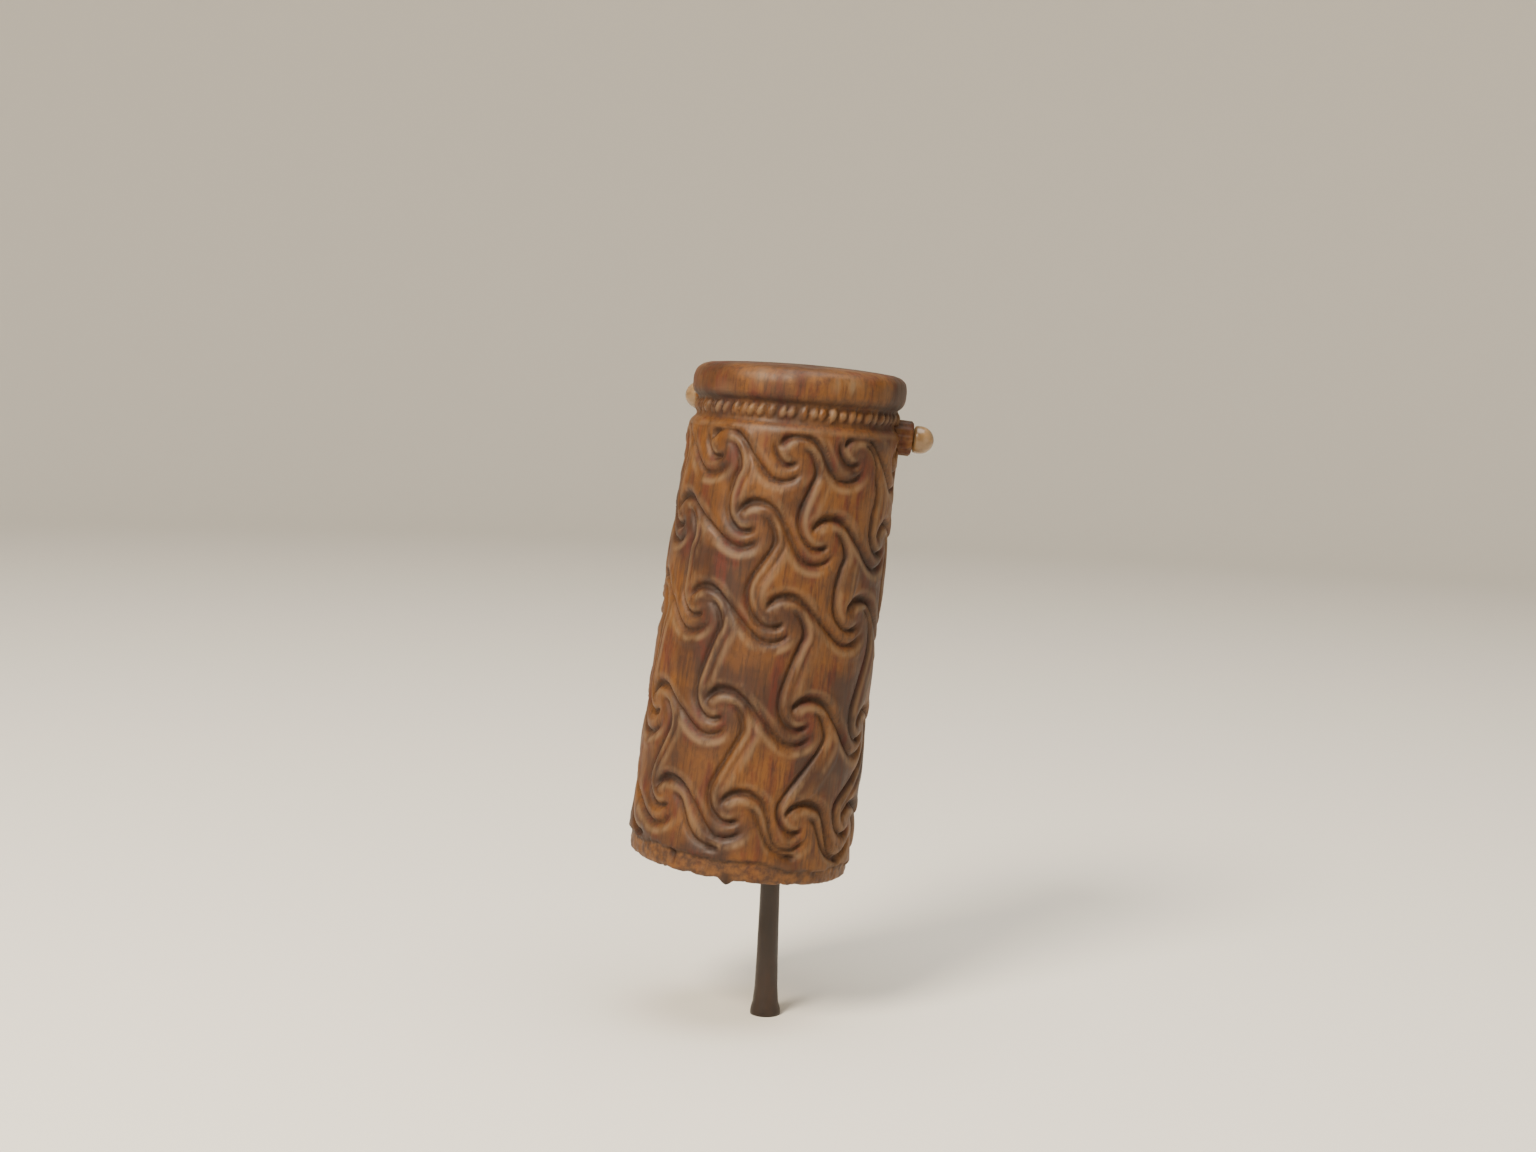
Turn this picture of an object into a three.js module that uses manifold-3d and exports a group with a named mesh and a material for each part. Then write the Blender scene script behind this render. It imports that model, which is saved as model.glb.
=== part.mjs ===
// Carved cylinder seal hanging on its thin display rod.
// Millimetres, +Z up, the front of the seal faces -Y.
// The origin is the middle of the rod's foot, on the surface that the rod stands on.
import * as THREE from 'three';
import { mergeVertices } from 'three/addons/utils/BufferGeometryUtils.js';
import Module from 'manifold-3d';

const wasm = await Module();
wasm.setup();

const degrees = THREE.MathUtils.degToRad;
const gap = 0.3;               // clearance between pieces that touch

// The carved cylinder, in its own upright frame with z = 0 at its base
const seal = {
  baseRadius: 10.56,
  topRadius: 9.83,             // at the top of the carved field
  fieldTop: 39.9,
  facets: 24,
  lean: degrees(5.24),         // leans to the right on the rod
  baseX: -3.16,                // middle of the base, left of the rod
  baseZ: 14.7,                 // middle of the base, above the rod's foot
};

// The turned head: fillet, beaded ring, lip band and low dome
const head = {
  filletRadius: 9.5,
  filletBottom: 40.2,
  filletTop: 40.7,
  neckRadius: 9.15,
  neckBottom: 40.95,
  neckTop: 42.75,
  lipRadius: 9.8,
  crest: 46.4,
  slope: 0.05,                 // the rings stand higher on the right
  slopeStart: 39,
};
// Lip and dome, each point as [distance in from the lip's radius, distance below the crest]
const lipProfile = [[0.18, 3.45], [0, 2.7], [0, 1.8], [0.25, 1.15], [1.2, 0.65], [3.9, 0.22], [6.9, 0.05]];
// Heights from the neck's surface: a crest stands proud, a valley and the root lie under it
const bead = { count: 62, middle: 41.97, height: 1.3, crest: 0.3, valley: 0.2, root: 0.25 };

// Running spirals: the eyes that show from the front, row by row from the top, each as
// [angle, height]. A row is filled up to eight eyes, evenly spaced round the back. A down arm
// runs to the eye of the next row that lies nearest to step degrees further on.
const eyesPerRow = 8;
const rows = [
  { front: [[-38, 37.6], [4, 37.75], [39.5, 38.35]], step: 22 },
  { front: [[-62.5, 31], [-13.5, 31.5], [27, 30.75], [68, 30.7]], step: 25 },
  { front: [[-36.5, 23.4], [8.5, 23.5], [54, 23.8]], step: 21 },
  { front: [[-60, 13.8], [-17, 14.6], [28, 14.6], [74, 14.3]], step: 8 },
  { front: [[-42, 5.85], [-1.5, 5.7], [32, 5.2], [70, 4.9]] },
];
const unrolledRadius = 10;     // turns an angle into a length on the unrolled surface

// How the grooves wind on the unrolled surface: points from the eye that an arm leaves, then
// from the eye that it curls into. Over the first row and under the last one only one end shows.
const alongArm = {
  leave: [[-1.9, 1], [-1, 2.15], [0.4, 2.3], [1.75, 1.6]],
  arrive: [[-2.45, -1.65], [-1, -1.85], [0.3, -0.85]],
};
const downArm = {
  leave: [[0.1, 1.15], [1.3, 0.5], [1.75, -1.2]],
  arrive: [[-3.05, 1.6], [-2, -0.25], [-0.4, -0.1]],
};
const firstArm = [[-2.3, 1.4], [-1.6, -0.1], [-0.4, -0.1]];
const lastArm = [[0.2, 1], [1.3, 0.6], [2.2, -1.2], [3.2, -2.6]];

// Grooves: the cutter is a wedge that reaches past the surface, and it thins out over the
// first and last stretch
const groove = { depth: 0.42, halfWidth: 0.34, proud: 0.42, fade: 1.4, thinEnd: 0.4 };

// Broken base edge: the skin is lost in a ragged strip
const breakEdge = { height: 1.75, depth: 0.42, sway: 0.22, below: 1, proud: 1, steps: 30 };

// Display rod, a little thicker low down, with a foot that widens
const rod = {
  topRadius: 0.9,
  lowRadius: 1.02,
  flareRadius: 1.1,
  footRadius: 1.45,
  footHeight: 0.5,
  flareTop: 2.6,
  lowTop: 5.2,
  reach: 30,                   // how far the rod goes up inside the seal
  sides: 12,
};

// Bore round the rod, off the middle and open below only. Its wall lies a gap away from
// the rod at the mouth's right side and at the far end's left side.
const leanRise = Math.tan(seal.lean);
const rodAtMouth = -seal.baseX / Math.cos(seal.lean);
const boreRight = rodAtMouth + rod.topRadius + gap;
const boreLeft = rodAtMouth - rod.reach * leanRise - rod.topRadius - gap;
const bore = {
  x: (boreRight + boreLeft) / 2,
  radius: (boreRight - boreLeft) / 2,
  depth: rod.reach + 2 * gap,
  past: 1,
  sides: 16,
};

// Studs: a ribbed collar carved on the seal, with a smooth domed peg in it
const collar = { radius: 1.65, valley: 1.45, ribs: 12, face: 10.85, root: 8.6 };
const peg = {
  domeRadius: 1.3,
  domeStart: 11.15,
  domeEnd: 12.85,
  shankRadius: 0.75,
  shankStart: 6.6,
  sides: 10,
  domeSteps: 3,
};
const studs = [
  { name: 'right_stud', turn: 0, height: 40.85 },
  { name: 'left_stud', turn: degrees(144), height: 42.2 },
];

const bodyMaterial = new THREE.MeshStandardMaterial({ color: 0x6d4630, roughness: 0.5, metalness: 0 });
const studMaterial = new THREE.MeshStandardMaterial({ color: 0xa08c70, roughness: 0.35, metalness: 0 });
const rodMaterial = new THREE.MeshStandardMaterial({ color: 0x2c2019, roughness: 0.45, metalness: 0.6 });

function toSolid(geometry) {
  const bare = geometry.clone();
  bare.deleteAttribute('normal');
  bare.deleteAttribute('uv');
  const merged = mergeVertices(bare, 1e-4);
  return new wasm.Manifold(new wasm.Mesh({
    numProp: 3,
    vertProperties: new Float32Array(merged.attributes.position.array),
    triVerts: new Uint32Array(merged.index.array),
  }));
}

function toGeometry(solid) {
  const mesh = solid.getMesh();
  const geometry = new THREE.BufferGeometry();
  geometry.setAttribute('position', new THREE.BufferAttribute(mesh.vertProperties, 3));
  geometry.setIndex(new THREE.BufferAttribute(mesh.triVerts, 1));
  geometry.computeVertexNormals();
  return geometry;
}

// The slivers that two crossing grooves set free fall away
function largestPart(solid) {
  const parts = solid.decompose();
  return parts.reduce((best, part) => (part.volume() > best.volume() ? part : best));
}

// A solid turned about Z, from [radius, height] pairs that start and end on the axis or close
function turned(profile, sides) {
  const outline = profile.map(([r, z]) => new THREE.Vector2(r, z));
  return new THREE.LatheGeometry(outline, sides).rotateX(Math.PI / 2);
}

function moveVertices(geometry, move) {
  const position = geometry.attributes.position;
  const point = new THREE.Vector3();
  for (let i = 0; i < position.count; i += 1) {
    point.fromBufferAttribute(position, i);
    move(point);
    position.setXYZ(i, point.x, point.y, point.z);
  }
  return geometry;
}

// Round a ring of two points for each of count ribs, says whether a point is a rib's crest
function isEven(point, count) {
  return Math.round(Math.atan2(point.y, point.x) / (Math.PI / count)) % 2 === 0;
}

// The rings of the head aren't quite square to the axis
function slopeHead(geometry) {
  return moveVertices(geometry, (point) => {
    if (point.z > head.slopeStart) point.z += head.slope * point.x;
  });
}

function surfaceRadius(height) {
  return THREE.MathUtils.mapLinear(height, 0, seal.fieldTop, seal.baseRadius, seal.topRadius);
}

function makeBody() {
  const profile = [
    [0, 0], [seal.baseRadius, 0], [seal.topRadius, seal.fieldTop],
    [head.filletRadius, head.filletBottom], [head.filletRadius, head.filletTop],
    [head.neckRadius, head.neckBottom], [head.neckRadius, head.neckTop],
    ...lipProfile.map(([inwards, down]) => [head.lipRadius - inwards, head.crest - down]),
    [0, head.crest],
  ];
  return toSolid(slopeHead(turned(profile, seal.facets)));
}

// A ring whose crest rises and falls once for each bead
function makeBeads() {
  const low = bead.middle - bead.height / 2;
  const high = bead.middle + bead.height / 2;
  const inside = head.neckRadius - bead.root;
  const crest = head.neckRadius + bead.crest;
  const ring = turned([[inside, low], [crest, bead.middle], [inside, high], [inside, low]], bead.count * 2);
  moveVertices(ring, (point) => {
    const onCrest = Math.hypot(point.x, point.y) > head.neckRadius;
    if (!onCrest || isEven(point, bead.count)) return;
    const scale = (head.neckRadius - bead.valley) / crest;
    point.x *= scale;
    point.y *= scale;
  });
  return toSolid(slopeHead(ring));
}

// Fills a row up to eight eyes: the listed ones, then the rest at one spacing round the back
function fillRow(front) {
  const missing = eyesPerRow - front.length;
  const [last] = front[front.length - 1];
  const spacing = (front[0][0] + 360 - last) / (missing + 1);
  const height = front.reduce((sum, eye) => sum + eye[1], 0) / front.length;
  const others = Array.from({ length: missing }, (_, i) => [last + spacing * (i + 1), height]);
  return [...front, ...others];
}

// The eye of a row that lies nearest to an angle, with its own angle within half a turn of it
function nearestEye(eyes, wanted) {
  const turns = eyes.map(([angle, height]) => [((angle - wanted + 540) % 360) - 180, height]);
  const [turn, height] = turns.reduce((best, eye) => (Math.abs(eye[0]) < Math.abs(best[0]) ? eye : best));
  return [wanted + turn, height];
}

// Points of the unrolled surface round an eye
function aroundEye([angle, height], offsets) {
  return offsets.map(([x, y]) => new THREE.Vector2(degrees(angle) * unrolledRadius + x, height + y));
}

function linkPoints(eye, next, arm) {
  return [...aroundEye(eye, arm.leave), ...aroundEye(next, arm.arrive)];
}

// Where a point of the unrolled surface lies on the seal, with the ways out and along there
function surfaceFrame(points, i) {
  const before = points[Math.max(i - 1, 0)];
  const after = points[Math.min(i + 1, points.length - 1)];
  const angle = points[i].x / unrolledRadius;
  const out = new THREE.Vector3(Math.sin(angle), -Math.cos(angle), 0);
  const side = new THREE.Vector3(Math.cos(angle), Math.sin(angle), 0);
  const way = after.clone().sub(before).normalize();
  const across = out.clone().cross(side.multiplyScalar(way.x).setZ(way.y));
  const place = out.clone().multiplyScalar(surfaceRadius(points[i].y)).setZ(points[i].y);
  return { out, across, place };
}

// A three-sided bar bent along the points with one edge inwards, which cuts one groove.
// The bar's corners lie at z = 1, the inner edge, and at z = -0.5 and x = +-cornerX.
function makeCutter(points) {
  const last = points.length - 1;
  const bar = new THREE.CylinderGeometry(1, 1, 1, 3, last);
  const lengths = [0];
  for (let i = 1; i <= last; i += 1) lengths.push(lengths[i - 1] + points[i].distanceTo(points[i - 1]));
  const cornerX = Math.sin(degrees(120));
  const rise = (groove.depth + groove.proud) / 1.5;
  const spread = groove.halfWidth * (1 + groove.proud / groove.depth) / cornerX;
  return toSolid(moveVertices(bar, (point) => {
    const i = Math.round((point.y + 0.5) * last);
    const { out, across, place } = surfaceFrame(points, i);
    const fromEnd = Math.min(lengths[i], lengths[last] - lengths[i]);
    const size = Math.min(1, groove.thinEnd + (1 - groove.thinEnd) * fromEnd / groove.fade);
    const height = rise * (1 - point.z) - groove.depth;
    const shift = point.x * spread * size;
    point.copy(place).addScaledVector(out, height < 0 ? height * size : height);
    point.addScaledVector(across, shift);
  }));
}

function makeGrooves() {
  const eyes = rows.map((row) => fillRow(row.front));
  const paths = [];
  rows.forEach(({ step }, r) => {
    eyes[r].forEach((eye, i) => {
      const [angle] = eye;
      const [nextAngle, nextHeight] = eyes[r][(i + 1) % eyesPerRow];
      const toNext = (nextAngle - angle + 360) % 360;
      paths.push(linkPoints(eye, [angle + toNext, nextHeight], alongArm));
      if (r === 0) paths.push(aroundEye(eye, firstArm));
      if (r === rows.length - 1) paths.push(aroundEye(eye, lastArm));
      else paths.push(linkPoints(eye, nearestEye(eyes[r + 1], angle + step), downArm));
    });
  });
  return wasm.Manifold.union(paths.map(makeCutter));
}

function raggedness(angle) {
  return Math.sin(angle * 3 + 1.1) * 0.5 + Math.sin(angle * 7 + 0.4) * 0.3 + Math.sin(angle * 13) * 0.45;
}

// The ring of material lost along the base edge, with a ragged upper side
function makeLostEdge() {
  const inside = seal.baseRadius - breakEdge.depth;
  const outside = seal.baseRadius + breakEdge.proud;
  const top = breakEdge.height;
  const low = -breakEdge.below;
  const corners = [[inside, low], [outside, low], [outside, top], [inside, top], [inside, low]];
  const ring = turned(corners, breakEdge.steps);
  return toSolid(moveVertices(ring, (point) => {
    if (point.z > 0) point.z += breakEdge.sway * raggedness(Math.atan2(point.y, point.x));
  }));
}

// Turns a shape made along +Z to point outwards from the axis at a stud
function atStud(geometry, stud) {
  return geometry.rotateY(Math.PI / 2).rotateZ(stud.turn).translate(0, 0, stud.height);
}

function makeCollar(stud) {
  const length = collar.face - collar.root;
  const drum = turned([[0, 0], [collar.radius, 0], [collar.radius, length], [0, length]], collar.ribs * 2);
  moveVertices(drum, (point) => {
    const scale = isEven(point, collar.ribs) ? 1 : collar.valley / collar.radius;
    point.set(point.x * scale, point.y * scale, point.z + collar.root);
  });
  return toSolid(atStud(drum, stud));
}

function makePegHole(stud) {
  const radius = peg.shankRadius + gap;
  const start = peg.shankStart - gap;
  const end = peg.domeStart;
  const profile = [[0, start], [radius, start], [radius, end], [0, end]];
  return toSolid(atStud(turned(profile, peg.sides), stud));
}

function makePeg(stud) {
  const { domeRadius, domeStart, domeEnd, shankRadius, shankStart } = peg;
  const profile = [[0, shankStart], [shankRadius, shankStart], [shankRadius, domeStart]];
  profile.push([domeRadius, domeStart]);
  for (let k = 0; k < peg.domeSteps; k += 1) {
    const angle = k * Math.PI / (2 * peg.domeSteps);
    profile.push([domeRadius * Math.cos(angle), domeEnd - domeRadius * (1 - Math.sin(angle))]);
  }
  profile.push([0, domeEnd]);
  return atStud(turned(profile, peg.sides), stud);
}

function makeBore() {
  const { x, radius, depth, sides, past } = bore;
  const profile = [[0, -past], [radius, -past], [radius, depth], [0, depth]];
  return toSolid(turned(profile, sides).translate(x, 0, 0));
}

function makeSeal() {
  const whole = wasm.Manifold.union([makeBody(), makeBeads(), ...studs.map(makeCollar)]);
  const lost = [makeGrooves(), makeLostEdge(), makeBore(), ...studs.map(makePegHole)];
  return toGeometry(largestPart(whole.subtract(wasm.Manifold.union(lost))));
}

// The rod stands straight up, and its tip stops just short of the end of the bore
function makeRod() {
  const rise = (rod.reach + seal.baseX * Math.sin(seal.lean)) / Math.cos(seal.lean);
  const tip = seal.baseZ + rise - rod.topRadius * leanRise;
  return turned([
    [0, 0], [rod.footRadius, 0], [rod.footRadius, rod.footHeight], [rod.flareRadius, rod.flareTop],
    [rod.lowRadius, rod.lowTop], [rod.topRadius, seal.baseZ], [rod.topRadius, tip], [0, tip],
  ], rod.sides);
}

function addPiece(parent, name, geometry, material) {
  const mesh = new THREE.Mesh(geometry, material);
  mesh.name = name;
  parent.add(mesh);
}

const model = new THREE.Group();
const leaning = new THREE.Group();
leaning.position.set(seal.baseX, 0, seal.baseZ);
leaning.rotation.y = seal.lean;
model.add(leaning);

addPiece(leaning, 'carved_cylinder', makeSeal(), bodyMaterial);
studs.forEach((stud) => addPiece(leaning, stud.name, makePeg(stud), studMaterial));
addPiece(model, 'display_rod', makeRod(), rodMaterial);

export default model;
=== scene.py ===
import math
import random

import bmesh
import bpy
from mathutils import Matrix, Vector, noise
from mathutils.kdtree import KDTree


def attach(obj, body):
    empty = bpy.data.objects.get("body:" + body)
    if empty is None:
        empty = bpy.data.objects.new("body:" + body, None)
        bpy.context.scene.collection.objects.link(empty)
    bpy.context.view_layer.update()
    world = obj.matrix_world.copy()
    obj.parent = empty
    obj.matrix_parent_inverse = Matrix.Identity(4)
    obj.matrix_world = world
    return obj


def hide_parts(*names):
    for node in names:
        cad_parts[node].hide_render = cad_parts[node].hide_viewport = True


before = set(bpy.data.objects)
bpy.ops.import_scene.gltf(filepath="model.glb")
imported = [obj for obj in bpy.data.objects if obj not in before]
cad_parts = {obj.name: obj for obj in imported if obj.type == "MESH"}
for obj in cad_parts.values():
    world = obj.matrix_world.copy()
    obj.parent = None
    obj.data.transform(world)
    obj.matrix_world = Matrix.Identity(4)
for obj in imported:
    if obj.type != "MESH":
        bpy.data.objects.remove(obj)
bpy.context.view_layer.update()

# Measures of the pieces are in millimetres and angles in degrees, and mm turns them into metres.
# The seal is modelled upright with its base at z = 0 and leaned over as a whole at the end.
mm = 0.001


def between(low, high, value):
    return min(1.0, max(0.0, (value - low) / (high - low)))


def smooth(low, high, value):
    share = between(low, high, value)
    return share * share * (3 - 2 * share)


def mix(first, second, share):
    return first + (second - first) * share


def hump(distance, width):    # 1 in the middle, 0 from width outwards
    return 0.0 if abs(distance) >= width else 0.5 + 0.5 * math.cos(math.pi * distance / width)


def ripple(x, y, seed):    # smooth noise about 0, another pattern for each seed
    return noise.noise(Vector((x, y, seed)))


def finishPiece(name, bm, material, node):
    bmesh.ops.transform(bm, matrix=Matrix.Diagonal((mm, mm, mm, 1)), verts=bm.verts)
    for face in bm.faces:
        face.smooth = True
    mesh = bpy.data.meshes.new(name)
    bm.to_mesh(mesh)
    bm.free()
    piece = bpy.data.objects.new(name, mesh)
    bpy.context.scene.collection.objects.link(piece)
    mesh.materials.append(material)
    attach(piece, "root")
    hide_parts(node)
    return piece


def spinProfile(bm, profile, steps):    # [radius, height] pairs turned about Z
    corners = [bm.verts.new((radius, 0, height)) for radius, height in profile]
    edges = [bm.edges.new(pair) for pair in zip(corners, corners[1:])]
    bmesh.ops.spin(bm, geom=corners + edges, axis=(0, 0, 1), cent=(0, 0, 0),
                   angle=math.tau, steps=steps, use_merge=True)
    bmesh.ops.remove_doubles(bm, verts=bm.verts, dist=0.0005)
    bmesh.ops.recalc_face_normals(bm, faces=bm.faces)


def dense(points, step):    # more points on a profile, none further apart than step
    filled = [points[0]]
    for (r0, z0), (r1, z1) in zip(points, points[1:]):
        pieces = max(1, round(math.hypot(r1 - r0, z1 - z0) / step))
        filled += [(mix(r0, r1, k / pieces), mix(z0, z1, k / pieces)) for k in range(1, pieces + 1)]
    return filled


def rounded(points, passes):    # rounds a dense profile, its two ends stay
    for _ in range(passes):
        inner = [((a[0] + 2 * b[0] + c[0]) / 4, (a[1] + 2 * b[1] + c[1]) / 4)
                 for a, b, c in zip(points, points[1:], points[2:])]
        points = [points[0], *inner, points[-1]]
    return points


# Where the seal stands on its rod
stand = {
    "lean": 5.24,      # degrees to the right
    "baseX": -3.16,    # middle of the base, left of the rod
    "baseZ": 14.7,     # middle of the base above the rod's foot
}
leaned = Matrix.Translation((stand["baseX"], 0, stand["baseZ"])) @ Matrix.Rotation(
    math.radians(stand["lean"]), 4, "Y")

# The running spirals: five rows of eyes, each eye at an angle from the front and a height, both
# read off the seal. A row is filled up to eight eyes evenly round the back. Its step is how far
# round its down arms reach.
spirals = {
    "eyes": 8,
    "rows": [
        {"step": 22, "front": [
            {"at": (-38, 37.6)},
            {"at": (4, 37.75), "fine": 0},
            {"at": (39.5, 38.35), "swing": 1.4, "bow": 0.9, "fine": 0},
        ]},
        {"step": 25, "front": [
            {"at": (-62.5, 31.0)},
            {"at": (-13.5, 31.5)},
            {"at": (27, 30.75), "curlDown": 1.05, "fine": 0},
            {"at": (72, 30.7), "fine": 0},
        ]},
        {"step": 21, "front": [
            {"at": (-36.5, 23.4)},
            {"at": (8.5, 23.5), "curlDown": 1.25},
            {"at": (54, 23.8), "curlDown": 1.15, "swing": 1.25, "bow": 0.4, "fine": 0},
        ]},
        {"step": 8, "front": [
            {"at": (-60, 13.8), "curlAlong": 1.25},
            {"at": (-17, 14.6)},
            {"at": (28, 14.6), "fine": 0},
            {"at": (74, 13.6)},
        ]},
        {"front": [
            {"at": (-42, 5.85), "curlAlong": 1.1},
            {"at": (-1.5, 5.7)},
            {"at": (32, 5.2), "curlDown": 0.85},
            {"at": (70, 4.9), "curlAlong": 1.25},
        ]},
    ],
    # The curls size the arms that end in an eye, swing and bow shape the down arm that leaves it,
    # and fine is 1 where that arm is split by a thin groove
    "plain": {"curlAlong": 1.0, "curlDown": 1.0, "swing": 1.0, "bow": 0.0, "fine": 1},
    "radius": 10.0,        # turns an angle into a length on the unrolled surface
    "spacing": 0.12,       # between the points of a path
}
# How an arm winds: offsets from the eye that it leaves, then from the eye that it curls into
alongArm = {
    "leave": [(-2.05, 0.8), (-1.75, 1.55), (-1.15, 2.1), (-0.3, 2.35), (0.8, 2.2), (1.75, 1.6)],
    "arrive": [(-2.45, -1.65), (-1.4, -1.9), (-0.4, -1.6), (0.25, -1.0), (0.5, -0.5)],
}
downArm = {
    "leave": [(0.1, 1.15), (0.95, 0.85), (1.6, 0.0), (1.85, -1.0), (1.5, -1.95)],
    "arrive": [(-3.1, 2.4), (-3.0, 1.1), (-2.4, 0.1), (-1.5, -0.45), (-0.6, -0.35), (-0.15, 0.1)],
}
# The arm that comes down into an eye of the top row, and the one that leaves the bottom row
firstArm = [(-2.35, 2.0), (-2.35, 0.9), (-1.9, 0.1), (-1.2, -0.4), (-0.5, -0.35), (-0.1, 0.1)]
lastArm = [(0.1, 1.0), (0.8, 0.85), (1.3, 0.4), (1.75, -0.5),
           (2.3, -1.6), (3.1, -2.5), (4.3, -3.0), (5.6, -3.2)]


def fillRow(front):    # the eyes that show from the front, then even ones round the back
    eyes = [dict(spirals["plain"], **eye) for eye in front]
    missing = spirals["eyes"] - len(eyes)
    first, last = eyes[0]["at"][0], eyes[-1]["at"][0]
    height = sum(eye["at"][1] for eye in eyes) / len(eyes)
    gap = (first + 360 - last) / (missing + 1)
    return eyes + [dict(spirals["plain"], at=(last + gap * (k + 1), height)) for k in range(missing)]


def unrolled(angle, height):
    return Vector((math.radians(angle) * spirals["radius"], height))


def nearestEye(eyes, wanted):    # the eye nearest to an angle, and its angle next to the wanted one
    turned = [((eye["at"][0] - wanted + 540) % 360 - 180, eye) for eye in eyes]
    turn, eye = min(turned, key=lambda pair: abs(pair[0]))
    return unrolled(wanted + turn, eye["at"][1]), eye["curlDown"]


def smoothPath(knots):    # a curve through the knots, with a point every spacing or so
    ends = [knots[0] * 2 - knots[1], *knots, knots[-1] * 2 - knots[-2]]
    path = []
    for a, b, c, d in zip(ends, ends[1:], ends[2:], ends[3:]):
        tB = (b - a).length ** 0.5
        tC = tB + (c - b).length ** 0.5
        tD = tC + (d - c).length ** 0.5
        count = max(2, round((c - b).length / spirals["spacing"]))
        for k in range(count):
            t = mix(tB, tC, k / count)
            ab = a.lerp(b, t / tB)
            bc = b.lerp(c, (t - tB) / (tC - tB))
            cd = c.lerp(d, (t - tC) / (tD - tC))
            abc = ab.lerp(bc, t / tC)
            bcd = bc.lerp(cd, (t - tB) / (tD - tB))
            path.append(abc.lerp(bcd, (t - tB) / (tC - tB)))
    return path + [knots[-1]]


def armPath(start, end, arm, curl=1.0, swing=1.0, bow=0.0):
    leave = [start + swing * Vector(offset) for offset in arm["leave"]]
    arrive = [end + curl * Vector(offset) for offset in arm["arrive"]]
    leave[-1].x += bow
    return smoothPath(leave + arrive)


def onDrum(point):    # the unrolled plane rolled up again, for finding neighbours
    angle = point.x / spirals["radius"]
    return Vector((math.sin(angle) * spirals["radius"], -math.cos(angle) * spirals["radius"], point.y))


class GrooveMap:    # finds the nearest point of one kind of groove
    def __init__(self, paths):
        self.samples = []
        for path, fine in paths:
            last = len(path) - 1
            run = 0.0
            length = sum((b - a).length for a, b in zip(path, path[1:]))
            for i, point in enumerate(path):
                way = (path[min(i + 1, last)] - path[max(i - 1, 0)]).normalized()
                self.samples.append((point, way, run, length, fine))
                run += (path[min(i + 1, last)] - point).length
        self.tree = KDTree(len(self.samples))
        for i, sample in enumerate(self.samples):
            self.tree.insert(onDrum(sample[0]), i)
        self.tree.balance()

    def near(self, point):    # signed distance, positive left of the way it runs, then place along it
        _, index, _ = self.tree.find(onDrum(point))
        sample, way, run, length, fine = self.samples[index]
        around = math.tau * spirals["radius"]
        dx = (point.x - sample.x + around / 2) % around - around / 2
        dy = point.y - sample.y
        return math.copysign(math.hypot(dx, dy), way.x * dy - way.y * dx), run, length - run, fine


def makePaths():
    rows = [fillRow(row["front"]) for row in spirals["rows"]]
    alongPaths, downPaths = [], []
    for r, row in enumerate(spirals["rows"]):
        for i, eye in enumerate(rows[r]):
            angle, height = eye["at"]
            here = unrolled(angle, height)
            following = rows[r][(i + 1) % spirals["eyes"]]
            toNext = (following["at"][0] - angle) % 360
            there = unrolled(angle + toNext, following["at"][1])
            alongPaths.append((armPath(here, there, alongArm, following["curlAlong"]), 1))
            if r == 0:
                downPaths.append((smoothPath([here + Vector(offset) for offset in firstArm]), 0))
            if r == len(rows) - 1:
                downPaths.append((smoothPath([here + Vector(offset) for offset in lastArm]), 0))
            else:
                below, curl = nearestEye(rows[r + 1], angle + row["step"])
                arm = armPath(here, below, downArm, curl, eye["swing"], eye["bow"])
                downPaths.append((arm, eye["fine"]))
    return GrooveMap(alongPaths), GrooveMap(downPaths)


# Heights of the relief over the seal's plain surface, and distances from the middle of a groove
relief = {
    "level": -0.10,                                          # of the skin without all the rest
    "alongDepth": 0.27, "alongAbove": 0.38, "alongBelow": 0.44,
    "alongStart": (-0.3, 1.0), "alongEnd": (-0.2, 1.6),      # where a groove fades in and out
    "overDepth": 0.11, "overWidth": 0.4,                     # more of both over the eye that it leaves
    "overAt": 2.6, "overReach": 3.4,
    "downDepth": 0.28, "downLeft": 0.34, "downRight": 0.40,
    "downStart": (-0.3, 1.2), "downEnd": (-0.3, 1.0),
    "fineDepth": 0.13, "fineAt": 0.95, "fineWidth": 0.30,    # the thin groove that splits a down arm
    "uneven": 0.35, "unevenScale": 0.4,                      # how much a groove's width varies
    "round": 0.22, "roundWidth": 1.2,                        # cords and fields are rounded at a groove
    "alongCord": 0.10, "alongCordEdge": 1.45,
    "downCord": 0.13, "downCordEdge": 2.15,
    "edgeSoftness": 0.32, "grooveSoftness": 0.1,
    "overhang": 0.08, "overhangReach": 2.2,                  # a field ends proud of the cord under it
    "pit": 0.16, "pitWidth": 0.62,                           # where a down arm ends in an eye
    "pitAt": 0.7, "pitReach": 0.9,
    "field": 0.08, "fieldFrom": 0.4, "fieldReach": 2.8,
    "wear": 0.035, "wearScale": (0.22, 0.12),
    "topSoftness": 0.12,                                     # where it all ends under the fillet
}
# Where it is grimy and darkened with painted shade, and where it is worn and lit with painted sheen; the
# crests as middle, width and share
grimeWearShadeAndSheen = {
    "grimeAndShadeDepth": (0.03, 0.30), "grimeAndShadeNear": 0.35,
    "downCrests": [(0.5, 0.42, 1.0), (1.5, 0.5, 0.7)],
    "alongCrests": [(-0.8, 0.5, 1.0), (0.75, 0.35, 0.5)],
}


def cordRise(side, edge, height):    # a cord beside a groove, up to its far edge
    soft, start = relief["edgeSoftness"], relief["grooveSoftness"]
    return height * smooth(edge + soft, edge - soft, side) * smooth(-start, start, side)


def crestShare(side, crests):
    return max(share * hump(side - middle, width) for middle, width, share in crests)


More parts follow.
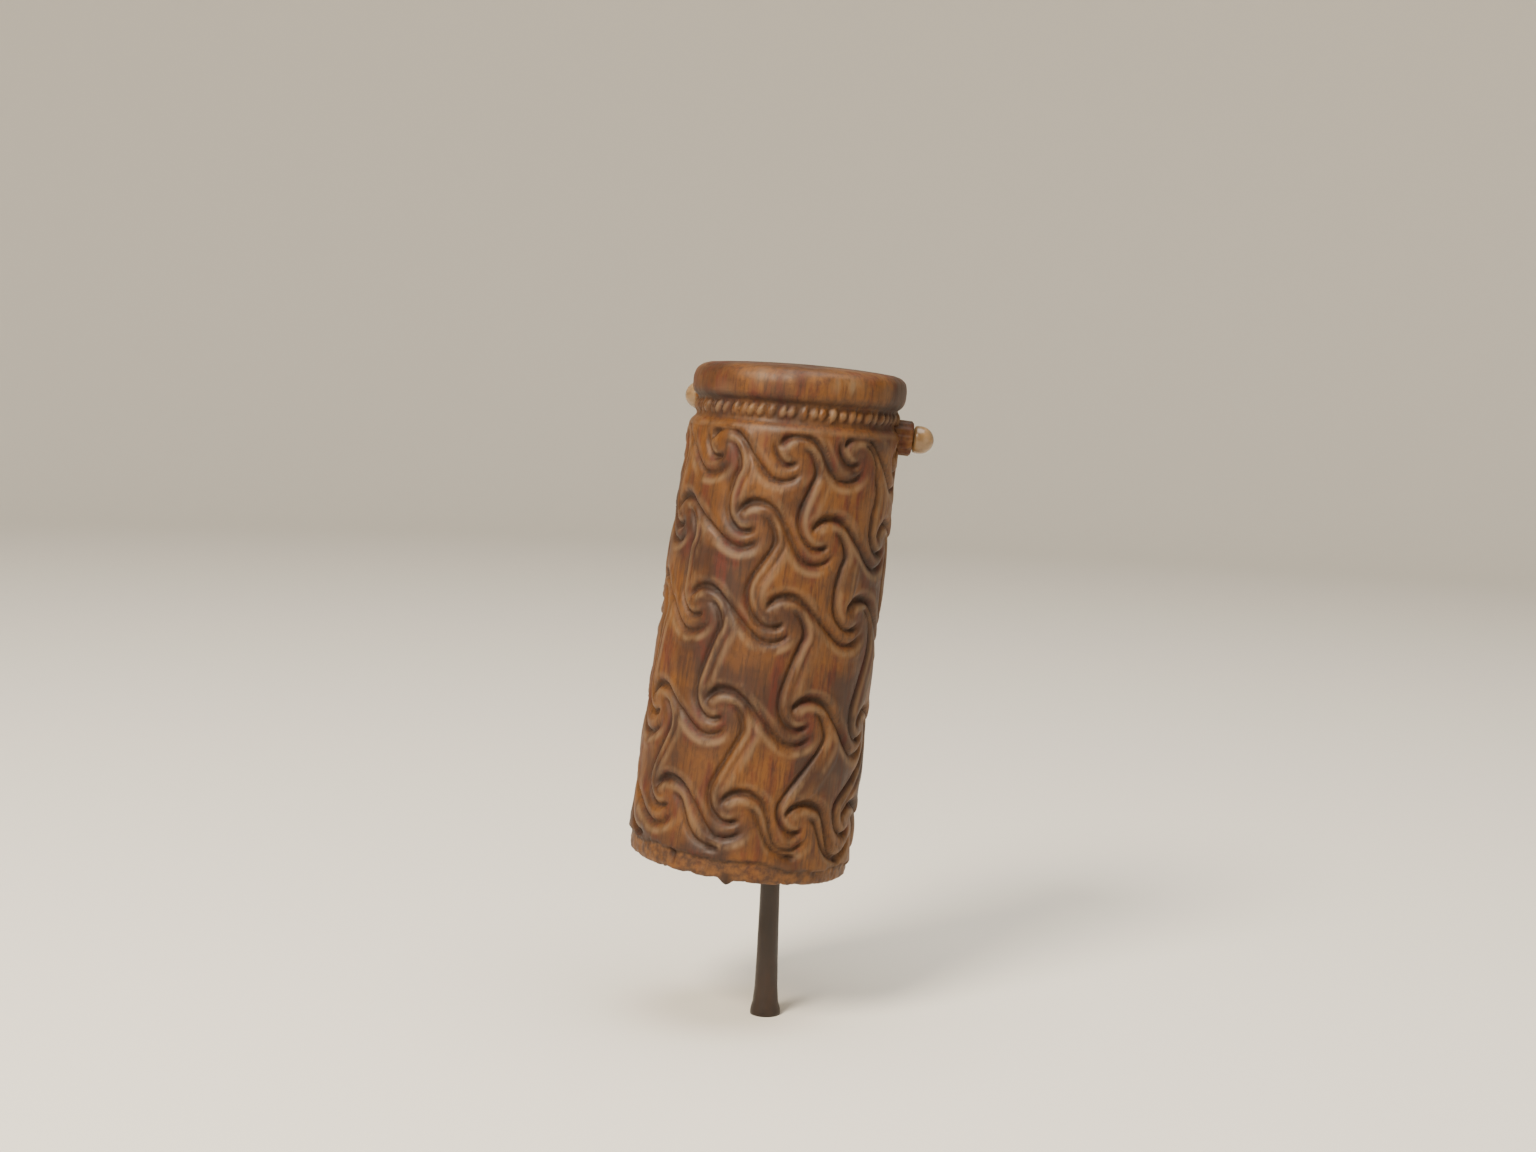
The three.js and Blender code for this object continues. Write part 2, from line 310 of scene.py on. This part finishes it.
def carving(angle, height, top, alongMap, downMap):    # the rise, then grime with painted shade, then wear with painted sheen
    point = Vector((angle * spirals["radius"], height))
    u, v = point
    onField = smooth(top + relief["topSoftness"], top - relief["topSoftness"], height)
    alongSide, alongRun, alongLeft, _ = alongMap.near(point)
    downSide, downRun, downLeft, fine = downMap.near(point)
    alongFade = smooth(*relief["alongStart"], alongRun) * smooth(*relief["alongEnd"], alongLeft)
    downFade = smooth(*relief["downStart"], downRun) * smooth(*relief["downEnd"], downLeft)
    scale = relief["unevenScale"]
    uneven = 1 + relief["uneven"] * ripple(u * scale, v * scale, 4.0)
    over = hump(alongRun - relief["overAt"], relief["overReach"])
    alongWidth = relief["alongAbove"] if alongSide > 0 else relief["alongBelow"]
    alongWidth *= (1 + relief["overWidth"] * over) * uneven
    downWidth = (relief["downRight"] if downSide > 0 else relief["downLeft"]) * uneven
    alongCut = (relief["alongDepth"] + relief["overDepth"] * over) * alongFade * hump(alongSide, alongWidth)
    downCut = relief["downDepth"] * downFade * hump(downSide, downWidth)
    fineCut = relief["fineDepth"] * fine * downFade * hump(downSide - relief["fineAt"], relief["fineWidth"])
    pit = hump(downLeft - relief["pitAt"], relief["pitReach"]) * hump(downSide, relief["pitWidth"])
    cut = max(alongCut, downCut, fineCut) + relief["pit"] * pit
    nearGroove = max(alongFade * between(relief["roundWidth"], 0, abs(alongSide)) ** 2,
                     downFade * between(relief["roundWidth"], 0, abs(downSide)) ** 2)
    cord = max(alongFade * cordRise(-alongSide, relief["alongCordEdge"], relief["alongCord"]),
               downFade * cordRise(downSide, relief["downCordEdge"], relief["downCord"]))
    overhang = relief["overhang"] * alongFade * hump(alongSide, relief["overhangReach"])
    nearest = min(abs(alongSide), abs(downSide))
    swell = relief["field"] * smooth(relief["fieldFrom"], relief["fieldReach"], nearest)
    wear = relief["wear"] * ripple(u * relief["wearScale"][0], v * relief["wearScale"][1], 9.0)
    rise = relief["level"] + swell + cord + wear - cut - relief["round"] * nearGroove
    rise += overhang if alongSide > 0 else -overhang
    # painted shade with grime: darker where a groove cuts deep and close beside it
    grimeAndShade = max(between(*grimeWearShadeAndSheen["grimeAndShadeDepth"], cut), grimeWearShadeAndSheen["grimeAndShadeNear"] * nearGroove)
    # painted sheen with wear: paler along the crests of the cords beside the grooves
    crest = max(downFade * crestShare(downSide, grimeWearShadeAndSheen["downCrests"]),
                alongFade * crestShare(alongSide, grimeWearShadeAndSheen["alongCrests"]))
    wornAndSheen = crest * (1 - grimeAndShade)
    return rise * onField, grimeAndShade * onField, wornAndSheen * onField


# The broken base edge: the skin is lost below a ragged line, deeper at a notch, and a dark drop
# of something hardened hangs from the rim
broken = {
    "reach": 3,            # nothing is broken above this height
    "height": 1.85, "rightHeight": 1.4, "rightFrom": (15, 27), "depth": 0.40,
    "ragged": 0.10, "teeth": 0.25, "smallTeeth": 0.14, "grain": 0.07, "splinters": 0.06,
    "notch": {"angle": -36, "width": 3.2, "low": 0.4, "depth": 0.45},
    "drop": {"angle": -5, "width": 3.6, "length": 0.42},
    "rim": 0.28,           # how far the rim is chipped upwards
    "rimReach": 0.7,
}


def breakLine(angle):
    turn = math.degrees(angle)
    line = mix(broken["height"], broken["rightHeight"], smooth(*broken["rightFrom"], turn))
    line += broken["ragged"] * (math.sin(angle * 7 + 0.4) + 0.8 * math.sin(angle * 13))
    line += broken["teeth"] * ripple(angle * 9, 0, 2.0)
    return line + broken["smallTeeth"] * ripple(angle * 28, 0, 5.0)


def breakOff(angle, z, rise, grimeAndShade, wornAndSheen):    # the rise and the three shades near the base edge
    line = breakLine(angle)
    lost = smooth(line + 0.10, line - 0.12, z)
    rough = broken["grain"] * ripple(angle * 34, z * 1.6, 1.0)
    rough += broken["splinters"] * ripple(angle * 14, z * 4, 8.0)
    rise = mix(rise, rough - broken["depth"], lost)
    # painted shadow: a dark line just under the ragged break line
    grimeAndShade = max(grimeAndShade * (1 - lost), 0.9 * hump(z - line + 0.08, 0.3))
    notch = hump(math.degrees(angle) - broken["notch"]["angle"], broken["notch"]["width"])
    notch *= smooth(broken["notch"]["low"] - 0.2, line, z) * smooth(line + 0.3, line, z)
    rise -= broken["notch"]["depth"] * notch
    # painted shade: the notch is darkened as deeply as it is cut
    return rise, max(grimeAndShade, notch), wornAndSheen * (1 - lost), lost * (1 - notch)


def rimShift(angle, z):    # chips in the rim, and the drop that hangs from it
    chip = max(0.0, ripple(angle * 8, 3.0, 0) + 0.4 * ripple(angle * 30, 6.0, 0))
    drop = broken["drop"]
    hang = math.sqrt(hump(math.degrees(angle) - drop["angle"], drop["width"]))
    shift = broken["rim"] * chip * (1 - hang) - drop["length"] * hang
    return shift * smooth(broken["rimReach"], 0.0, z), hang


# The carved cylinder's plain turned form, its head and dome as [radius, height]
body = {
    "steps": 372,          # six for each bead
    "rowStep": 0.2,
    "baseRadius": 10.5, "topRadius": 9.8, "fieldTop": 40.05,
    "head": [[9.62, 40.2], [9.66, 40.45], [9.45, 40.75], [9.12, 40.95], [9.1, 42.75],
             [9.5, 42.95], [9.76, 43.45], [9.78, 44.6], [9.6, 45.3], [9.1, 45.72], [8.4, 45.92]],
    "dome": [[6.8, 46.08], [5.0, 46.2], [3.0, 46.28], [1.2, 46.32], [0, 46.33]],
    "filletAt": 40.4, "beadsFrom": 40.9, "lipFrom": 43.1,
    "wallFrom": 8.3,       # only the wall outside this radius is carved
    "slope": 0.05, "slopeFrom": 36.0, "slopeFull": 40.2,    # the head slants to the right
    "boreX": 1.8, "boreRadius": 2.58, "boreDepth": 30.6, "boreSpread": 9.4,
    "undersideRings": (4, 5.5, 7.5), "rimFrom": 5.5,
}
beads = {
    "count": 62, "radius": 9.3, "middle": 41.95, "tall": 0.64, "wide": 0.46, "slant": 0.25,
    "rise": 0.34, "sunk": 0.10, "sunkReach": 1.1,
}
# Grey patches of painted reflection and worn golden patches on the lip: angle, width, height and share of
# each
lipPatches = {
    "greySheen": [(25, 14, 44.6, 1.3), (-22, 6, 45.0, 0.7), (-44, 12, 43.5, 0.4), (52, 8, 44.4, 0.5)],
    "golden": [(8, 7, 45.1, 1.2), (-6, 4, 44.9, 1.3), (-30, 9, 45.2, 0.7), (38, 6, 45.0, 0.6)],
    "tall": 1.3,
}


def makeProfile():    # from the bore's far end round the outside to the top of the dome
    wall = [(body["baseRadius"] - 0.25, 0), (body["baseRadius"], 0.2), (body["topRadius"], body["fieldTop"])]
    outer = dense(wall + [tuple(pair) for pair in body["head"]], body["rowStep"])
    outer = rounded(outer, 2)
    bore, depth = body["boreRadius"], body["boreDepth"]
    underside = [(0, depth), (bore, depth), (bore, depth / 2), (bore, 0.15), (bore + 0.15, 0)]
    underside += [(radius, 0) for radius in (*body["undersideRings"], body["boreSpread"])]
    return underside + outer + [tuple(pair) for pair in body["dome"]]


def patchShare(angle, height, patches):
    turn = math.degrees(angle)
    return max(share * hump(turn - middle, width) * hump(height - at, lipPatches["tall"])
               for middle, width, at, share in patches)


def beadRise(angle, height, beadSizes):
    place = angle / math.tau * beads["count"]
    number = math.floor(place)
    tall, size, shift = beadSizes[number % beads["count"]]
    offset = (place - number - 0.5 - shift) * math.tau * beads["radius"] / beads["count"]
    offset -= beads["slant"] * (height - beads["middle"])
    inside = 1 - (offset / beads["wide"]) ** 2 - ((height - beads["middle"]) / (beads["tall"] * tall)) ** 2
    if inside <= 0:
        return -beads["sunk"] * hump(height - beads["middle"], beads["sunkReach"])
    return mix(-beads["sunk"], beads["rise"] * size, math.sqrt(inside))


def shapeBody(bm):
    alongMap, downMap = makePaths()
    random.seed(62)
    beadSizes = [(random.uniform(0.75, 1.12), random.uniform(0.45, 1.15), random.uniform(-0.16, 0.16))
                 for _ in range(beads["count"])]
    layers = [bm.verts.layers.float.new(name) for name in ("grimeAndShade", "wornAndSheen", "fresh")]
    for vert in bm.verts:
        x, y, z = vert.co
        radius = math.hypot(x, y)
        angle = math.atan2(x, -y)    # 0 at the front, growing to the right
        shift = body["slope"] * x * smooth(body["slopeFrom"], body["slopeFull"], z)
        rise, grimeAndShade, wornAndSheen, fresh = 0.0, 0.0, 0.0, 0.0
        if z < body["boreDepth"] + 1 and radius <= body["boreSpread"]:    # the bore is off the middle
            vert.co.x += body["boreX"] * between(body["boreSpread"], body["boreRadius"], radius)
            # painted shade: the inside of the bore is darkened, the rest of the underside is paler bare horn
            grimeAndShade = 0.8 * smooth(body["boreRadius"] + 0.1, body["boreRadius"], radius)
            fresh = 0.7 * (1 - grimeAndShade)
        elif z < body["beadsFrom"]:
            top = body["fieldTop"] + shift
            rise, grimeAndShade, wornAndSheen = carving(angle, z + shift, top, alongMap, downMap)
            # painted highlight: a pale line along the fillet ridge
            wornAndSheen = max(wornAndSheen, 0.5 * hump(z - body["filletAt"], 0.4))
            if z < broken["reach"]:
                rise, grimeAndShade, wornAndSheen, fresh = breakOff(angle, z, rise, grimeAndShade, wornAndSheen)
        elif z < body["lipFrom"]:
            rise = beadRise(angle, z, beadSizes)
            # painted shade in the gaps between the beads and under the lip, and a painted highlight on each
            # bead's top
            grimeAndShade = max(0.75 * between(0.16, -0.1, rise), smooth(42.6, 42.8, z) * 0.8)
            wornAndSheen = between(0.05, 0.3, rise)
        else:
            rise = 0.04 * ripple(angle * 4, z * 0.8, 7.0)
            # painted reflection: grey patches of sheen on the lip; the golden patches are wear
            wornAndSheen = patchShare(angle, z, lipPatches["greySheen"])
            fresh = patchShare(angle, z, lipPatches["golden"])
            # painted shade with grime: darker along the lip's lower edge
            grimeAndShade = 0.7 * smooth(43.7, 43.0, z + 0.3 * ripple(angle * 14, 0, 3.0))
        hang = 0.0
        if z < broken["rimReach"]:
            lift, hang = rimShift(angle, z)
            vert.co.z += lift * between(body["rimFrom"], body["boreSpread"], radius)
        for layer, value in zip(layers, (max(grimeAndShade, 0.9 * hang), wornAndSheen, fresh * (1 - hang))):
            vert[layer] = value
        if radius > body["wallFrom"] and rise:
            vert.co.x *= (radius + rise) / radius
            vert.co.y *= (radius + rise) / radius
        vert.co.z += shift


# The ribbed collars that hold the studs
collars = {
    "ribs": 12, "radius": 1.62, "valley": 1.45, "hole": 1.05, "recess": 0.4, "round": 0.2,
    "face": 10.83, "root": 8.6,
    "studs": [{"name": "rightStud", "node": "right_stud", "turn": 0, "height": 40.85},
              {"name": "leftStud", "node": "left_stud", "turn": 144, "height": 42.2}],
}


def outwards(stud):    # turns a shape made along Z to stick out of the seal at a stud
    return (Matrix.Translation((0, 0, stud["height"])) @ Matrix.Rotation(math.radians(stud["turn"]), 4, "Z")
            @ Matrix.Rotation(math.pi / 2, 4, "Y"))


def makeCollar(stud):
    bm = bmesh.new()
    face, radius, hole = collars["face"], collars["radius"], collars["hole"]
    floor = face - collars["recess"]
    outline = [(0, collars["root"]), (radius, collars["root"]), (radius, face - collars["round"]),
               (radius - collars["round"], face), (hole, face), (hole, floor), (0, floor)]
    spinProfile(bm, dense(outline, 0.3), collars["ribs"] * 6)
    for vert in bm.verts:
        turn = math.atan2(vert.co.y, vert.co.x)
        outer = smooth(1.1, 1.5, math.hypot(vert.co.x, vert.co.y))
        dip = (0.5 - 0.5 * math.cos(turn * collars["ribs"])) * outer * (radius - collars["valley"])
        scale = 1 - dip / radius
        vert.co.x *= scale
        vert.co.y *= scale
    bmesh.ops.transform(bm, matrix=outwards(stud), verts=bm.verts)
    return bm


def makeCarvedCylinder(material):
    bm = bmesh.new()
    spinProfile(bm, makeProfile(), body["steps"])
    shapeBody(bm)
    for stud in collars["studs"]:
        collar = makeCollar(stud)
        scratch = bpy.data.meshes.new("collar")
        collar.to_mesh(scratch)
        collar.free()
        bm.from_mesh(scratch)
        bpy.data.meshes.remove(scratch)
    bmesh.ops.transform(bm, matrix=leaned, verts=bm.verts)
    print("carved cylinder:", len(bm.verts), "vertices")
    return finishPiece("carvedCylinder", bm, material, "carved_cylinder")


# The smooth pegs in the collars
peg = {
    "neck": [(0, 10.5), (0.95, 10.5), (0.95, 10.9)],    # hidden in the collar, as [radius, height]
    "round": [(1.22, 11.0), (1.28, 11.2)],
    "domeRadius": 1.28, "domeEnd": 12.83, "steps": 40, "rings": 10,
}


def makeStud(stud, material):
    bm = bmesh.new()
    radius, end = peg["domeRadius"], peg["domeEnd"]
    outline = peg["neck"] + peg["round"]
    for k in range(peg["rings"] + 1):
        turn = math.pi / 2 * k / peg["rings"]
        outline.append((radius * math.cos(turn), end - radius * (1 - math.sin(turn))))
    spinProfile(bm, outline, peg["steps"])
    bmesh.ops.transform(bm, matrix=leaned @ outwards(stud), verts=bm.verts)
    return finishPiece(stud["name"], bm, material, stud["node"])


# The rod under the seal, as [radius, height] from the foot up
rod = {
    "outline": [[1.42, 0], [1.44, 0.25], [1.4, 0.55], [1.22, 1.2], [1.1, 2.6],
                [1.02, 5.2], [0.95, 10], [0.9, 14.7], [0.9, 43.9], [0.5, 44.2]],
    "steps": 48,
    "wobble": 0.025, "wobbleScale": 0.9, "sideFrom": 0.8,
}


def makeRod(material):
    bm = bmesh.new()
    outline = dense([tuple(pair) for pair in rod["outline"]], 0.5)
    spinProfile(bm, [(0, 0), *outline, (0, outline[-1][1])], rod["steps"])
    for vert in bm.verts:
        if math.hypot(vert.co.x, vert.co.y) > rod["sideFrom"]:
            wobble = 1 - rod["wobble"] * (0.5 + 0.5 * noise.noise(vert.co * rod["wobbleScale"]))
            vert.co.x *= wobble
            vert.co.y *= wobble
    return finishPiece("displayRod", bm, material, "display_rod")


def newMaterial(name):
    material = bpy.data.materials.new(name)
    material.use_nodes = True
    tree = material.node_tree
    return material, tree, tree.nodes["Principled BSDF"]


def addNode(tree, kind, inputs=None, **settings):
    node = tree.nodes.new(kind)
    for key, value in settings.items():
        setattr(node, key, value)
    for key, value in (inputs or {}).items():
        if isinstance(value, bpy.types.NodeSocket):
            tree.links.new(value, node.inputs[key])
        else:
            node.inputs[key].default_value = value
    return node


def mixColour(tree, share, first, second, blend="MIX"):
    node = addNode(tree, "ShaderNodeMix", data_type="RGBA", blend_type=blend)
    for index, value in ((0, share), (6, first), (7, second)):
        if isinstance(value, bpy.types.NodeSocket):
            tree.links.new(value, node.inputs[index])
        else:
            node.inputs[index].default_value = value
    return node.outputs[2]


def calculate(tree, kind, *values, clamp=False):
    node = addNode(tree, "ShaderNodeMath", operation=kind, use_clamp=clamp)
    for index, value in enumerate(values):
        if isinstance(value, bpy.types.NodeSocket):
            tree.links.new(value, node.inputs[index])
        else:
            node.inputs[index].default_value = value
    return node.outputs[0]


def spread(tree, value, low, high, to=(0, 1)):    # the stretch from low to high mapped on to another
    node = addNode(tree, "ShaderNodeMapRange", {
        "Value": value, "From Min": low, "From Max": high, "To Min": to[0], "To Max": to[1]})
    return node.outputs[0]


def clouds(tree, place, scale, detail, roughness=0.5):
    node = addNode(tree, "ShaderNodeTexNoise", {
        "Vector": place, "Scale": scale, "Detail": detail, "Roughness": roughness})
    return node.outputs[0]


def drawnOut(tree, place, scale):    # a pattern's place, drawn out lengthwise
    return addNode(tree, "ShaderNodeMapping", {"Vector": place, "Scale": (1, 1, scale)}).outputs[0]


def addBump(tree, shader, height, strength, distance):
    bump = addNode(tree, "ShaderNodeBump", {
        "Strength": strength, "Distance": distance * mm, "Height": height})
    tree.links.new(bump.outputs[0], shader.inputs["Normal"])


def colour(red, green, blue):    # from the 0 to 255 values of a screen colour
    def linear(value):
        value /= 255
        return value / 12.92 if value <= 0.04045 else ((value + 0.055) / 1.055) ** 2.4
    return (linear(red), linear(green), linear(blue), 1)


def layOver(tree, base, pattern, reach, shade):    # reach is where it starts, where it is full, its share
    low, high, most = reach
    share = calculate(tree, "MULTIPLY", spread(tree, pattern, low, high), most, clamp=True)
    return mixColour(tree, share, base, colour(*shade))


# The cylinder's dark golden horn: its shades, its patterns as scale in a millimetre, detail and
# roughness, and how its patterns bring the shades out
horn = {
    "golden": (92, 54, 9), "brown": (52, 25, 6), "red": (70, 20, 4), "dark": (28, 13, 6),
    # the groove shade is grime with painted shade in the hollows; the worn shade is wear with painted sheen,
    # highlights and reflections
    "groove": (18, 9, 6), "wornAndSheen": (112, 90, 64), "fresh": (104, 66, 26), "lost": (56, 34, 20),
    "fibres": (3.6, 5.0, 0.62), "fibreLength": 0.09,
    "streaks": (0.75, 4.0, 0.6), "streakLength": 0.3,
    "patches": (0.16, 3.0, 0.5), "mottle": (1.3, 4.0, 0.65),
    "goldenPatches": (0.4, 0.58), "lostMottle": (0.36, 0.62), "wornAndSheenStreaks": (0.38, 0.55),
    "redStreaks": (0.5, 0.66, 0.8), "darkMottle": (0.52, 0.75, 0.45), "darkFibres": (0.47, 0.66, 0.6),
    "freshShare": 0.75, "wornAndSheenShare": 0.62, "grimeAndShadeShare": 0.65,
    "roughness": (0.46, 0.68), "grimeAndShadeRoughness": 0.2, "gloss": 0.36,
    "grain": 0.35, "grainDepth": 0.05,
}


def makeHornMaterial():
    material, tree, shader = newMaterial("carvedHorn")
    place = addNode(tree, "ShaderNodeTexCoord")
    upright = addNode(tree, "ShaderNodeMapping", {    # the patterns lean with the cylinder
        "Vector": place.outputs["Object"],
        "Location": (stand["baseX"] * mm, 0, stand["baseZ"] * mm),
        "Rotation": (0, math.radians(stand["lean"]), 0),
        "Scale": (mm, mm, mm)}, vector_type="TEXTURE").outputs[0]
    fibre = clouds(tree, drawnOut(tree, upright, horn["fibreLength"]), *horn["fibres"])
    streak = clouds(tree, drawnOut(tree, upright, horn["streakLength"]), *horn["streaks"])
    patch = clouds(tree, upright, *horn["patches"])
    mottle = clouds(tree, upright, *horn["mottle"])
    grimeAndShade, wornAndSheen, fresh = [addNode(tree, "ShaderNodeAttribute", attribute_name=name).outputs["Fac"]
                          for name in ("grimeAndShade", "wornAndSheen", "fresh")]
    golden = spread(tree, patch, *horn["goldenPatches"])
    base = mixColour(tree, golden, colour(*horn["brown"]), colour(*horn["golden"]))
    base = layOver(tree, base, streak, horn["redStreaks"], horn["red"])
    base = layOver(tree, base, mottle, horn["darkMottle"], horn["dark"])
    base = layOver(tree, base, fibre, horn["darkFibres"], horn["dark"])
    lost = spread(tree, mottle, *horn["lostMottle"])
    bare = mixColour(tree, lost, colour(*horn["fresh"]), colour(*horn["lost"]))
    base = mixColour(tree, calculate(tree, "MULTIPLY", fresh, horn["freshShare"]), base, bare)
    # wear with painted sheen and highlights, paler where the streaks allow
    wear = calculate(tree, "MULTIPLY", wornAndSheen, spread(tree, streak, *horn["wornAndSheenStreaks"]), clamp=True)
    wear = calculate(tree, "MULTIPLY", wear, horn["wornAndSheenShare"])
    base = mixColour(tree, wear, base, colour(*horn["wornAndSheen"]))
    # grime with painted shade, darkest in the grooves and hollows
    grimeAndShadeAmount = calculate(tree, "MULTIPLY", grimeAndShade, horn["grimeAndShadeShare"])
    base = mixColour(tree, grimeAndShadeAmount, base, colour(*horn["groove"]))
    tree.links.new(base, shader.inputs["Base Color"])
    rough = spread(tree, streak, 0.35, 0.7, horn["roughness"])
    rough = calculate(tree, "ADD", rough, calculate(tree, "MULTIPLY", grimeAndShade, horn["grimeAndShadeRoughness"]))
    tree.links.new(rough, shader.inputs["Roughness"])
    grain = calculate(tree, "ADD", fibre, calculate(tree, "MULTIPLY", mottle, 0.5))
    addBump(tree, shader, grain, horn["grain"], horn["grainDepth"])
    shader.inputs["Specular IOR Level"].default_value = horn["gloss"]
    return material


# The pale pegs, patterns as scale in a metre and detail
waxyBone = {
    "pale": (132, 106, 74), "deep": (92, 70, 46), "clouds": (700.0, 4.0), "reach": (0.35, 0.7),
    "roughness": 0.24, "glow": 0.35, "glowColour": (1.0, 0.6, 0.3), "glowDepth": 0.6,
    "bump": 0.12, "bumpDepth": 0.04,
}


def makeWaxyMaterial():
    material, tree, shader = newMaterial("waxyBone")
    place = addNode(tree, "ShaderNodeTexCoord").outputs["Object"]
    cloud = clouds(tree, place, *waxyBone["clouds"])
    share = spread(tree, cloud, *waxyBone["reach"])
    shade = mixColour(tree, share, colour(*waxyBone["pale"]), colour(*waxyBone["deep"]))
    tree.links.new(shade, shader.inputs["Base Color"])
    shader.inputs["Roughness"].default_value = waxyBone["roughness"]
    shader.inputs["Subsurface Weight"].default_value = waxyBone["glow"]
    shader.inputs["Subsurface Radius"].default_value = waxyBone["glowColour"]
    shader.inputs["Subsurface Scale"].default_value = waxyBone["glowDepth"] * mm
    addBump(tree, shader, cloud, waxyBone["bump"], waxyBone["bumpDepth"])
    return material


# The rod's dark paint, patterns as scale in a metre, detail and roughness
rodPaint = {
    "dark": (32, 20, 13), "rubbed": (46, 30, 20), "wear": (900.0, 5.0, 0.6), "wearLength": 0.25,
    "rubbedFrom": (0.4, 0.68), "roughness": (0.38, 0.6), "metallic": 0.15,
    "fine": (4200.0, 2.0), "bump": 0.2, "bumpDepth": 0.03,
}


def makePaintedSteelMaterial():
    material, tree, shader = newMaterial("paintedSteel")
    place = addNode(tree, "ShaderNodeTexCoord").outputs["Object"]
    wear = clouds(tree, drawnOut(tree, place, rodPaint["wearLength"]), *rodPaint["wear"])
    fine = clouds(tree, place, *rodPaint["fine"])
    share = spread(tree, wear, *rodPaint["rubbedFrom"])
    shade = mixColour(tree, share, colour(*rodPaint["dark"]), colour(*rodPaint["rubbed"]))
    tree.links.new(shade, shader.inputs["Base Color"])
    tree.links.new(spread(tree, wear, 0.35, 0.7, rodPaint["roughness"]), shader.inputs["Roughness"])
    shader.inputs["Metallic"].default_value = rodPaint["metallic"]
    addBump(tree, shader, fine, rodPaint["bump"], rodPaint["bumpDepth"])
    return material


# A plain pale floor that curves up all round, in metres
studio = {"flat": 0.62, "bend": 0.3, "wall": 1.2, "shade": (226, 222, 214), "steps": 96}


def makeStudio():
    bm = bmesh.new()
    flat, bend = studio["flat"], studio["bend"]
    turns = [math.radians(turn) for turn in range(0, 91, 6)]
    curve = [(flat + bend * math.sin(turn), bend * (1 - math.cos(turn))) for turn in turns]
    spinProfile(bm, [(0, 0), *curve, (flat + bend, studio["wall"])], studio["steps"])
    for face in bm.faces:
        face.smooth = True
        inward = face.normal.dot(face.calc_center_median() - Vector((0, 0, 0.5))) < 0
        if not inward:
            face.normal_flip()
    mesh = bpy.data.meshes.new("paleFloor")
    bm.to_mesh(mesh)
    bm.free()
    floor = bpy.data.objects.new("paleFloor", mesh)
    bpy.context.scene.collection.objects.link(floor)
    material, _, shader = newMaterial("paleFloor")
    shader.inputs["Base Color"].default_value = colour(*studio["shade"])
    shader.inputs["Roughness"].default_value = 0.9
    mesh.materials.append(material)


# Soft lights: where each is, its size in metres, its power in watts and its colour
lights = [
    {"name": "keyLight", "at": (-0.20, -0.30, 0.34), "size": 0.16, "power": 4.6, "tint": (1.0, 0.88, 0.71)},
    {"name": "skyLight", "at": (0.05, -0.05, 0.60), "size": 0.50, "power": 3.8, "tint": (1.0, 0.96, 0.88)},
    {"name": "fillLight", "at": (0.40, -0.30, 0.12), "size": 0.35, "power": 0.35, "tint": (1.0, 0.92, 0.80)},
]
lightAim = (0, 0, 38)
room = {"tint": (1.0, 0.95, 0.88, 1), "strength": 0.3}    # the light that comes from all round


def addLights():
    for light in lights:
        data = bpy.data.lights.new(light["name"], "AREA")
        data.shape = "DISK"
        data.size = light["size"]
        data.energy = light["power"]
        data.color = light["tint"]
        lamp = bpy.data.objects.new(light["name"], data)
        bpy.context.scene.collection.objects.link(lamp)
        lamp.location = light["at"]
        lamp.rotation_euler = (Vector(lightAim) * mm - lamp.location).to_track_quat("-Z", "Y").to_euler()
    world = bpy.data.worlds.new("softRoom")
    world.use_nodes = True
    background = world.node_tree.nodes["Background"]
    background.inputs["Color"].default_value = room["tint"]
    background.inputs["Strength"].default_value = room["strength"]
    bpy.context.scene.world = world


# The camera stands level with the seal's neck and looks down a little
view = {"at": (-1.33, -203.5, 58.89), "yaw": -0.01, "pitch": -4.96, "roll": 2.32, "lens": 51.8}


def addCamera():
    yaw, pitch, roll = (math.radians(view[key]) for key in ("yaw", "pitch", "roll"))
    ahead = Vector((math.sin(yaw) * math.cos(pitch), math.cos(yaw) * math.cos(pitch), math.sin(pitch)))
    level = Vector((math.cos(yaw), -math.sin(yaw), 0))
    upright = level.cross(ahead)
    right = math.cos(roll) * level + math.sin(roll) * upright
    up = math.cos(roll) * upright - math.sin(roll) * level
    data = bpy.data.cameras.new("photoCamera")
    data.lens = view["lens"]
    data.sensor_width = 36
    camera = bpy.data.objects.new("photoCamera", data)
    bpy.context.scene.collection.objects.link(camera)
    turned = Matrix((right, up, -ahead)).transposed().to_4x4()
    camera.matrix_world = Matrix.Translation(Vector(view["at"]) * mm) @ turned
    bpy.context.scene.camera = camera


addCamera()
addLights()
makeStudio()
print("camera, lights and floor are in place")
makeCarvedCylinder(makeHornMaterial())
print("carved cylinder is made")
waxy = makeWaxyMaterial()
for studPlace in collars["studs"]:
    makeStud(studPlace, waxy)
makeRod(makePaintedSteelMaterial())
print("studs and rod are made")
